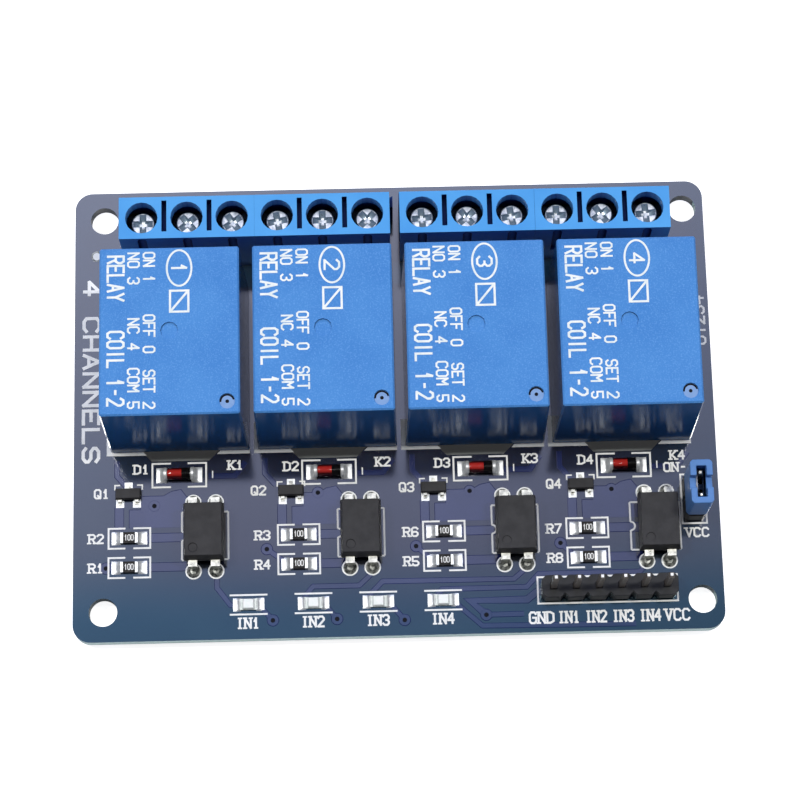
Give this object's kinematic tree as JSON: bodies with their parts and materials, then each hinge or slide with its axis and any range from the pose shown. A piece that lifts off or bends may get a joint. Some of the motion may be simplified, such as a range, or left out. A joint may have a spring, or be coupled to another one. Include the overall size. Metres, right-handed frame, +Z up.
{
  "type": "relay module board",
  "caption": "Flat circuit board with a row of box-shaped relays, screw terminal blocks, optocoupled inputs on a pin header and a removable jumper cap.",
  "frame": {"origin": "under the middle of the board, level with the lead tips that the board rests on", "axes": "X along the row of relays, +Y towards the screw terminals, +Z up through the components"},
  "size_m": [0.0732, 0.053, 0.0194],
  "materials": {
    "solder_mask": "glass-fibre board with a semi-matt violet-blue solder mask",
    "relay_blue": "moulded blue relay cover",
    "relay_base": "black moulded base with epoxy seal",
    "terminal_blue": "moulded sky-blue terminal housing",
    "zinc_steel": "zinc-plated screw steel",
    "plated_cage": "plated clamp metal",
    "tinned_lead": "tin-plated lead metal",
    "black_moulding": "black moulding compound",
    "diode_glass": "reddish glass with a dark band",
    "resistor_black": "black resistor glaze",
    "lamp_base": "white laminate",
    "lamp_lens": "cloudy clear resin",
    "header_black": "black header moulding",
    "jumper_blue": "moulded blue jumper cap"
  },
  "bodies": {
    "board": {"circuit_board": "solder_mask", "contact_strips": "tinned_lead", "diode_end_caps": "tinned_lead", "diode_glass": "diode_glass", "input_header": "header_black", "input_pins": "tinned_lead", "jumper_header": "header_black", "jumper_pins": "tinned_lead", "lamp_bases": "lamp_base", "lamp_lenses": "lamp_lens", "optocoupler_1": "black_moulding", "optocoupler_2": "black_moulding", "optocoupler_3": "black_moulding", "optocoupler_4": "black_moulding", "optocoupler_leads": "tinned_lead", "relay_base_1": "relay_base", "relay_base_2": "relay_base", "relay_base_3": "relay_base", "relay_base_4": "relay_base", "relay_cover_1": "relay_blue", "relay_cover_2": "relay_blue", "relay_cover_3": "relay_blue", "relay_cover_4": "relay_blue", "relay_leads": "tinned_lead", "resistor_ends": "tinned_lead", "resistors": "resistor_black", "terminal_housing_1": "terminal_blue", "terminal_housing_2": "terminal_blue", "terminal_housing_3": "terminal_blue", "terminal_housing_4": "terminal_blue", "transistor_leads": "tinned_lead", "transistors": "black_moulding"},
    "jumper": {"jumper_cap": "jumper_blue", "jumper_clip": "plated_cage"},
    "screw_1": {"clamp_screw_1": "zinc_steel"},
    "cage_1": {"clamp_cage_1": "plated_cage"},
    "screw_2": {"clamp_screw_2": "zinc_steel"},
    "cage_2": {"clamp_cage_2": "plated_cage"},
    "screw_3": {"clamp_screw_3": "zinc_steel"},
    "cage_3": {"clamp_cage_3": "plated_cage"},
    "screw_4": {"clamp_screw_4": "zinc_steel"},
    "cage_4": {"clamp_cage_4": "plated_cage"},
    "screw_5": {"clamp_screw_5": "zinc_steel"},
    "cage_5": {"clamp_cage_5": "plated_cage"},
    "screw_6": {"clamp_screw_6": "zinc_steel"},
    "cage_6": {"clamp_cage_6": "plated_cage"},
    "screw_7": {"clamp_screw_7": "zinc_steel"},
    "cage_7": {"clamp_cage_7": "plated_cage"},
    "screw_8": {"clamp_screw_8": "zinc_steel"},
    "cage_8": {"clamp_cage_8": "plated_cage"},
    "screw_9": {"clamp_screw_9": "zinc_steel"},
    "cage_9": {"clamp_cage_9": "plated_cage"},
    "screw_10": {"clamp_screw_10": "zinc_steel"},
    "cage_10": {"clamp_cage_10": "plated_cage"},
    "screw_11": {"clamp_screw_11": "zinc_steel"},
    "cage_11": {"clamp_cage_11": "plated_cage"},
    "screw_12": {"clamp_screw_12": "zinc_steel"},
    "cage_12": {"clamp_cage_12": "plated_cage"}
  },
  "joints": [
    {"name": "jumper_pull", "type": "slide", "parent": "board", "child": "jumper", "axis": [0, 0, 1], "range_m": [0, 0.006]},
    {"name": "screw_1_turn", "type": "hinge", "parent": "board", "child": "screw_1", "pos_m": [-0.02799, 0.01985, 0.0118], "axis": [0, 0, -1], "range_deg": [0, 1445]},
    {"name": "cage_1_rise", "type": "slide", "parent": "board", "child": "cage_1", "axis": [0, 0, 1], "range_m": [0, 0.002]},
    {"name": "screw_2_turn", "type": "hinge", "parent": "board", "child": "screw_2", "pos_m": [-0.02291, 0.01985, 0.0118], "axis": [0, 0, -1], "range_deg": [0, 1445]},
    {"name": "cage_2_rise", "type": "slide", "parent": "board", "child": "cage_2", "axis": [0, 0, 1], "range_m": [0, 0.002]},
    {"name": "screw_3_turn", "type": "hinge", "parent": "board", "child": "screw_3", "pos_m": [-0.01783, 0.01985, 0.0118], "axis": [0, 0, -1], "range_deg": [0, 1445]},
    {"name": "cage_3_rise", "type": "slide", "parent": "board", "child": "cage_3", "axis": [0, 0, 1], "range_m": [0, 0.002]},
    {"name": "screw_4_turn", "type": "hinge", "parent": "board", "child": "screw_4", "pos_m": [-0.01275, 0.01985, 0.0118], "axis": [0, 0, -1], "range_deg": [0, 1445]},
    {"name": "cage_4_rise", "type": "slide", "parent": "board", "child": "cage_4", "axis": [0, 0, 1], "range_m": [0, 0.002]},
    {"name": "screw_5_turn", "type": "hinge", "parent": "board", "child": "screw_5", "pos_m": [-0.00767, 0.01985, 0.0118], "axis": [0, 0, -1], "range_deg": [0, 1445]},
    {"name": "cage_5_rise", "type": "slide", "parent": "board", "child": "cage_5", "axis": [0, 0, 1], "range_m": [0, 0.002]},
    {"name": "screw_6_turn", "type": "hinge", "parent": "board", "child": "screw_6", "pos_m": [-0.00259, 0.01985, 0.0118], "axis": [0, 0, -1], "range_deg": [0, 1445]},
    {"name": "cage_6_rise", "type": "slide", "parent": "board", "child": "cage_6", "axis": [0, 0, 1], "range_m": [0, 0.002]},
    {"name": "screw_7_turn", "type": "hinge", "parent": "board", "child": "screw_7", "pos_m": [0.00359, 0.01985, 0.0118], "axis": [0, 0, -1], "range_deg": [0, 1445]},
    {"name": "cage_7_rise", "type": "slide", "parent": "board", "child": "cage_7", "axis": [0, 0, 1], "range_m": [0, 0.002]},
    {"name": "screw_8_turn", "type": "hinge", "parent": "board", "child": "screw_8", "pos_m": [0.00867, 0.01985, 0.0118], "axis": [0, 0, -1], "range_deg": [0, 1445]},
    {"name": "cage_8_rise", "type": "slide", "parent": "board", "child": "cage_8", "axis": [0, 0, 1], "range_m": [0, 0.002]},
    {"name": "screw_9_turn", "type": "hinge", "parent": "board", "child": "screw_9", "pos_m": [0.01375, 0.01985, 0.0118], "axis": [0, 0, -1], "range_deg": [0, 1445]},
    {"name": "cage_9_rise", "type": "slide", "parent": "board", "child": "cage_9", "axis": [0, 0, 1], "range_m": [0, 0.002]},
    {"name": "screw_10_turn", "type": "hinge", "parent": "board", "child": "screw_10", "pos_m": [0.01883, 0.01985, 0.0118], "axis": [0, 0, -1], "range_deg": [0, 1445]},
    {"name": "cage_10_rise", "type": "slide", "parent": "board", "child": "cage_10", "axis": [0, 0, 1], "range_m": [0, 0.002]},
    {"name": "screw_11_turn", "type": "hinge", "parent": "board", "child": "screw_11", "pos_m": [0.02391, 0.01985, 0.0118], "axis": [0, 0, -1], "range_deg": [0, 1445]},
    {"name": "cage_11_rise", "type": "slide", "parent": "board", "child": "cage_11", "axis": [0, 0, 1], "range_m": [0, 0.002]},
    {"name": "screw_12_turn", "type": "hinge", "parent": "board", "child": "screw_12", "pos_m": [0.02899, 0.01985, 0.0118], "axis": [0, 0, -1], "range_deg": [0, 1445]},
    {"name": "cage_12_rise", "type": "slide", "parent": "board", "child": "cage_12", "axis": [0, 0, 1], "range_m": [0, 0.002]}
  ],
  "couplings": [
    {"joint": "screw_1_turn", "follows": "cage_1_rise", "rad_per_m": 12566},
    {"joint": "screw_2_turn", "follows": "cage_2_rise", "rad_per_m": 12566},
    {"joint": "screw_3_turn", "follows": "cage_3_rise", "rad_per_m": 12566},
    {"joint": "screw_4_turn", "follows": "cage_4_rise", "rad_per_m": 12566},
    {"joint": "screw_5_turn", "follows": "cage_5_rise", "rad_per_m": 12566},
    {"joint": "screw_6_turn", "follows": "cage_6_rise", "rad_per_m": 12566},
    {"joint": "screw_7_turn", "follows": "cage_7_rise", "rad_per_m": 12566},
    {"joint": "screw_8_turn", "follows": "cage_8_rise", "rad_per_m": 12566},
    {"joint": "screw_9_turn", "follows": "cage_9_rise", "rad_per_m": 12566},
    {"joint": "screw_10_turn", "follows": "cage_10_rise", "rad_per_m": 12566},
    {"joint": "screw_11_turn", "follows": "cage_11_rise", "rad_per_m": 12566},
    {"joint": "screw_12_turn", "follows": "cage_12_rise", "rad_per_m": 12566}
  ]
}
